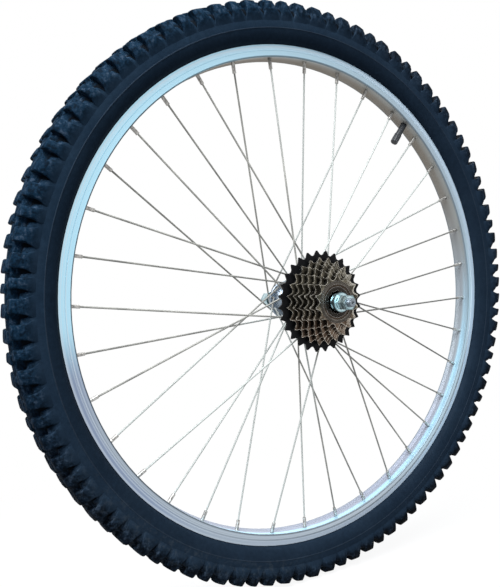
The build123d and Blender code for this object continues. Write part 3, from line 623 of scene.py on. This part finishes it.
def root_point(radius, y, depth, angle):
    """The point of the casing below a knob's point, sunk in by a depth."""
    away = sqrt((radius - CASING_CENTRE) ** 2 + y * y)
    reach = CASING_RADIUS - depth
    return section_point(CASING_CENTRE + (radius - CASING_CENTRE) / away * reach, y / away * reach, angle)


def lowered_point(radius, y, depth, angle):
    """A knob's point, moved towards the casing by a depth."""
    away = sqrt((radius - CASING_CENTRE) ** 2 + y * y)
    return section_point(radius - (radius - CASING_CENTRE) / away * depth, y - y / away * depth, angle)


def ramp(value, none, full):
    """0 at one value and 1 at another, straight between them and level outside."""
    return min(max((value - none) / (full - none), 0.0), 1.0)


# Section of a shoulder knob from sidewall to crown: radius, place along the axle, share of the length
SHOULDER_ROWS = (
    (305.4, 22.6, 1.50),
    (306.6, 22.9, 1.50),
    (309.5, 23.8, 1.44),
    (313.0, 24.9, 1.20),
    (316.5, 25.5, 1.00),
    (320.2, 24.9, 0.90),
    (322.4, 24.3, 0.88),
    (324.2, 23.5, 0.87),
    (326.2, 22.6, 0.86),
    (327.7, 21.7, 0.86),
    (328.5, 20.2, 0.85),
    (329.0, 16.0, 0.85),
    (329.1, 13.0, 0.85),
    (328.6, 12.0, 0.86),
    (326.0, 11.3, 0.88),
    (322.6, 10.6, 0.92),
)
SHOULDER_CORNER = SHOULDER_ROWS[4][:2]
APRON_ROWS = SHOULDER_ROWS[1:9]


def crown_rows(inner, outer):
    """Section of a crown block between two places along the axle, given as a shoulder knob's is."""
    return (
        (324.0, inner - 0.7, 1.08),
        (327.0, inner - 0.2, 1.02),
        (TREAD_RADIUS - 0.6, inner, 0.98),
        (TREAD_RADIUS, inner + 0.7, 0.96),
        (TREAD_RADIUS, (inner + outer) / 2, 0.96),
        (TREAD_RADIUS - 0.1, outer - 0.7, 0.96),
        (TREAD_RADIUS - 0.8, outer, 0.98),
        (327.0, outer + 0.2, 1.02),
        (322.6, outer + 0.7, 1.08),
    )


def add_apron(skin, side, centre, arc):
    """The low ramp at the near end of a shoulder knob, which leaves a narrow slot before the next knob."""
    middle = radians(centre)
    half = radians(arc) / 2
    grid = []
    for radius, y, share in APRON_ROWS:
        across = side * y
        above = height_over_casing(radius, y)
        height = APRON_HEIGHT * ramp(radius, KNOB_TOP_END, KNOB_TOP_START)
        wide = half * share
        end = half * (share + APRON_REACH)
        foot = half * (share + APRON_REACH * APRON_FOOT_SPREAD)
        line = [root_point(radius, across, KNOB_ROOT_DEPTH, middle - foot)]
        for reach, part in ((end, APRON_END_HEIGHT), (wide, 1.0), (wide * APRON_OVERLAP, 1.0)):
            line.append(lowered_point(radius, across, above * (1 - height * part), middle - reach))
        line.append(root_point(radius, across, KNOB_ROOT_DEPTH, middle - wide * APRON_ROOT_OVERLAP))
        grid.append(line if side < 0 else line[::-1])
    start = skin.grid(grid)
    corner_radius, corner_y = SHOULDER_CORNER
    skin.cap(grid, start, root_point(corner_radius, side * corner_y, KNOB_FAN_DEPTH, middle - half))


def add_knob(skin, rows, side, centre, arc):
    """One tread knob with tapered walls and rounded edges."""
    middle = radians(centre)
    half = radians(arc) / 2
    grid = []
    for radius, y, share in rows:
        across = side * y
        wide = half * share
        edge = KNOB_EDGE / TREAD_RADIUS / wide
        fall = TOP_FALL / 2 * ramp(radius, KNOB_TOP_START, KNOB_TOP_END)
        far_end = [(1 - edge * inset, drop) for inset, drop in KNOB_ROUNDING]
        near_end = [(-part, drop) for part, drop in far_end]
        line = [root_point(radius, across, KNOB_ROOT_DEPTH, middle - wide * KNOB_ROOT_SPREAD)]
        for part, drop in near_end + [(0.0, 0.0)] + far_end[::-1]:
            line.append(lowered_point(radius, across, drop + fall * (1 - part), middle + wide * part))
        line.append(root_point(radius, across, KNOB_ROOT_DEPTH, middle + wide * KNOB_ROOT_SPREAD))
        grid.append(line if side < 0 else line[::-1])
    start = skin.grid(grid)
    middle_y = rows[len(rows) // 2][1]
    skin.cap(grid, start, root_point(KNOB_FAN_RADIUS, side * middle_y, KNOB_FAN_DEPTH, middle))


def add_shoulder(skin, side, centre, arc):
    """A shoulder knob and its apron."""
    add_knob(skin, SHOULDER_ROWS, side, centre, arc)
    add_apron(skin, side, centre, arc)


def make_tyre():
    """The tyre: a casing with beads and a fine sidewall line, and the knobs of its tread."""
    skin = Skin()
    section = casing_section()
    rings = []
    for i in range(CASING_STEPS):
        angle = 2 * pi * i / CASING_STEPS
        rings.append([section_point(radius, y, angle) for radius, y in section])
    skin.grid(rings, closed_rows=True, closed_columns=True)
    pitch = 360 / PITCHES
    large = pitch * LARGE_SHARE
    small = pitch - 2 * large
    for i in range(PITCHES):
        start = i * pitch + TREAD_PHASE
        for centre in (start + large / 2, start + large * 3 / 2):
            crown = centre + CROWN_LAG
            add_shoulder(skin, -1, centre, large * LARGE_FILL)
            add_shoulder(skin, 1, crown, large * LARGE_FILL)
            for side in (-1, 1):
                add_knob(skin, crown_rows(*SIDE_BLOCK), side, crown, large * BLOCK_FILL)
        centre = start + 2 * large + small / 2
        crown = centre + CROWN_LAG
        add_shoulder(skin, -1, centre, small * SMALL_FILL)
        add_shoulder(skin, 1, crown, small * SMALL_FILL)
        add_knob(skin, crown_rows(*MIDDLE_BLOCK), 1, crown, small * BLOCK_FILL)
    tyre = skin.piece("tyre_skin", tyre_rubber(), "wheel", SHARP_ANGLE)
    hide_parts("tyre")


def on_both_sides(*names):
    """The drive-side and the left node of each of these names."""
    return [f"{side}_{name}" for side in SIDES for name in names]


make_tyre()
dress(
    zinc_plate(),
    *on_both_sides("axle_spacer", "lock_washer", "locknut", "axle_washer", "axle_nut", "dust_cap"),
)
dress(threaded_steel(), "axle")
dress(
    plated_steel("ground_steel", (0.55, 0.55, 0.56), (0.38, 0.38, 0.39), roughness=0.18, size=6.0),
    *on_both_sides("cone", "bearing_balls", "bearing_cup"),
    "freewheel_pawl_a", "freewheel_pawl_b", "pawl_spring",
)
dress(
    plated_steel("hub_alloy", (0.38, 0.44, 0.51), (0.22, 0.27, 0.32), roughness=0.40, size=10.0),
    "hub_shell",
)
dress(spoke_steel(), *on_both_sides("spokes"))
dress(
    plated_steel("nipple_nickel", (0.52, 0.51, 0.49), (0.22, 0.21, 0.20), roughness=0.52, size=2.5),
    "spoke_nipples",
)
dress(rim_alloy(), "rim")
dress(moulded_black("tape_rubber", roughness=0.7), "rim_tape")
dress(moulded_black("tube_rubber", roughness=0.5), "inner_tube")
dress(moulded_black("cap_plastic", roughness=0.42), "valve_cap")
dress(brass(), "valve_core", "valve_pin")
dress(sprocket_bronze(), *[f"sprocket_{teeth}t" for teeth in (24, 22, 20, 18, 16, 14)])
dress(black_oxide(), "sprocket_28t")
dress(
    turned_steel("freewheel_steel", (0.16, 0.145, 0.125), (0.050, 0.044, 0.038), size=0.8),
    "freewheel_outer_body", "sprocket_spacers",
)
dress(
    turned_steel("adjusting_cone_steel", (0.13, 0.10, 0.075), (0.040, 0.030, 0.022), size=0.5),
    "freewheel_adjusting_cone",
)
dress(
    turned_steel("inner_body_steel", (0.055, 0.050, 0.045), (0.015, 0.013, 0.011), size=0.7),
    "freewheel_inner_body",
)


def light_path(finish):
    """1 on rays from the camera and in mirror-like and clear surfaces, which see the white background."""
    seen = finish.node("ShaderNodeLightPath", output="Is Camera Ray")
    for name in ("Is Glossy Ray", "Is Transmission Ray"):
        seen = seen.math("MAXIMUM", seen, finish.node("ShaderNodeLightPath", output=name))
    return seen


def make_stage():
    """A white floor under the tyre, which keeps a soft shadow around the tyre's foot."""
    floor_height = -TREAD_RADIUS * MM - FLOOR_GAP
    bpy.ops.mesh.primitive_plane_add(size=FLOOR_SIZE, location=(0.0, 0.0, floor_height))
    floor = bpy.context.object
    floor.name = "floor"
    pale = Finish("pale_floor", {"Roughness": 0.9})
    seen = light_path(pale)
    pale.set({"Base Color": pale.blend(seen, (0.22, 0.22, 0.22), (0.84, 0.85, 0.86))})
    away = (pale.axis("X") ** 2 + pale.axis("Y") ** 2) ** 0.5
    far = pale.smooth(away, 0.05, 0.55)
    white = pale.node("ShaderNodeEmission", None, {"Color": (1.0, 1.0, 1.0), "Strength": 1.0})
    mixed = pale.node(
        "ShaderNodeMixShader", None,
        {0: seen * (0.92 + 0.08 * far), 1: Field(pale, pale.shader.outputs[0]), 2: white},
    )
    pale.feed(pale.tree.nodes["Material Output"].inputs["Surface"], mixed)
    floor.data.materials.append(pale.material)


class Surround(Finish):
    """The world's nodes."""

    def __init__(self, world):
        world.use_nodes = True
        self.tree = world.node_tree


def make_world():
    """White where the camera and reflections see it, and a cool sky from the upper left for the rest."""
    world = bpy.data.worlds.new("studio")
    bpy.context.scene.world = world
    surround = Surround(world)
    direction = surround.node("ShaderNodeTexCoord", output="Generated")
    toward = surround.dot(direction, SKY_SIDE)
    sky = surround.blend(surround.smooth(toward, -0.2, 0.9), (0.06, 0.06, 0.06), (0.30, 0.52, 0.80))
    background = surround.tree.nodes["Background"]
    surround.feed(background.inputs["Color"], surround.blend(light_path(surround), sky, (1.0, 1.0, 1.0)))


def make_lamp(name, place, aim, size, power, colour):
    """A soft square lamp."""
    lamp = bpy.data.lights.new(name, "AREA")
    lamp.size = size
    lamp.energy = power
    lamp.color = colour
    holder = bpy.data.objects.new(name, lamp)
    holder.location = place
    holder.rotation_euler = (Vector(aim) - Vector(place)).to_track_quat("-Z", "Y").to_euler()
    bpy.context.scene.collection.objects.link(holder)


def make_camera():
    """The photograph's viewpoint."""
    azimuth, elevation = radians(VIEW_AZIMUTH), radians(VIEW_ELEVATION)
    back = Vector((sin(azimuth) * cos(elevation), -cos(azimuth) * cos(elevation), sin(elevation)))
    lens = bpy.data.cameras.new("camera")
    lens.sensor_fit = "VERTICAL"
    lens.sensor_height = SENSOR
    lens.lens = LENS
    lens.shift_x = SHIFT_X
    lens.shift_y = SHIFT_Y
    lens.clip_start = CLIP_START * MM
    camera = bpy.data.objects.new("camera", lens)
    camera.location = (Vector(VIEW_TARGET) + back * VIEW_DISTANCE) * MM
    camera.rotation_euler = back.to_track_quat("Z", "Y").to_euler()
    bpy.context.scene.collection.objects.link(camera)
    bpy.context.scene.camera = camera


make_stage()
make_world()
make_lamp("key", (-0.75, -0.45, 1.3), (0.0, 0.0, 0.1), size=1.2, power=85.0, colour=(0.97, 0.99, 1.0))
make_lamp("back", (1.0, 1.3, 0.9), (0.0, 0.0, 0.0), size=1.6, power=16.0, colour=(1.0, 1.0, 1.0))
make_camera()
bpy.context.scene.view_settings.view_transform = "Standard"
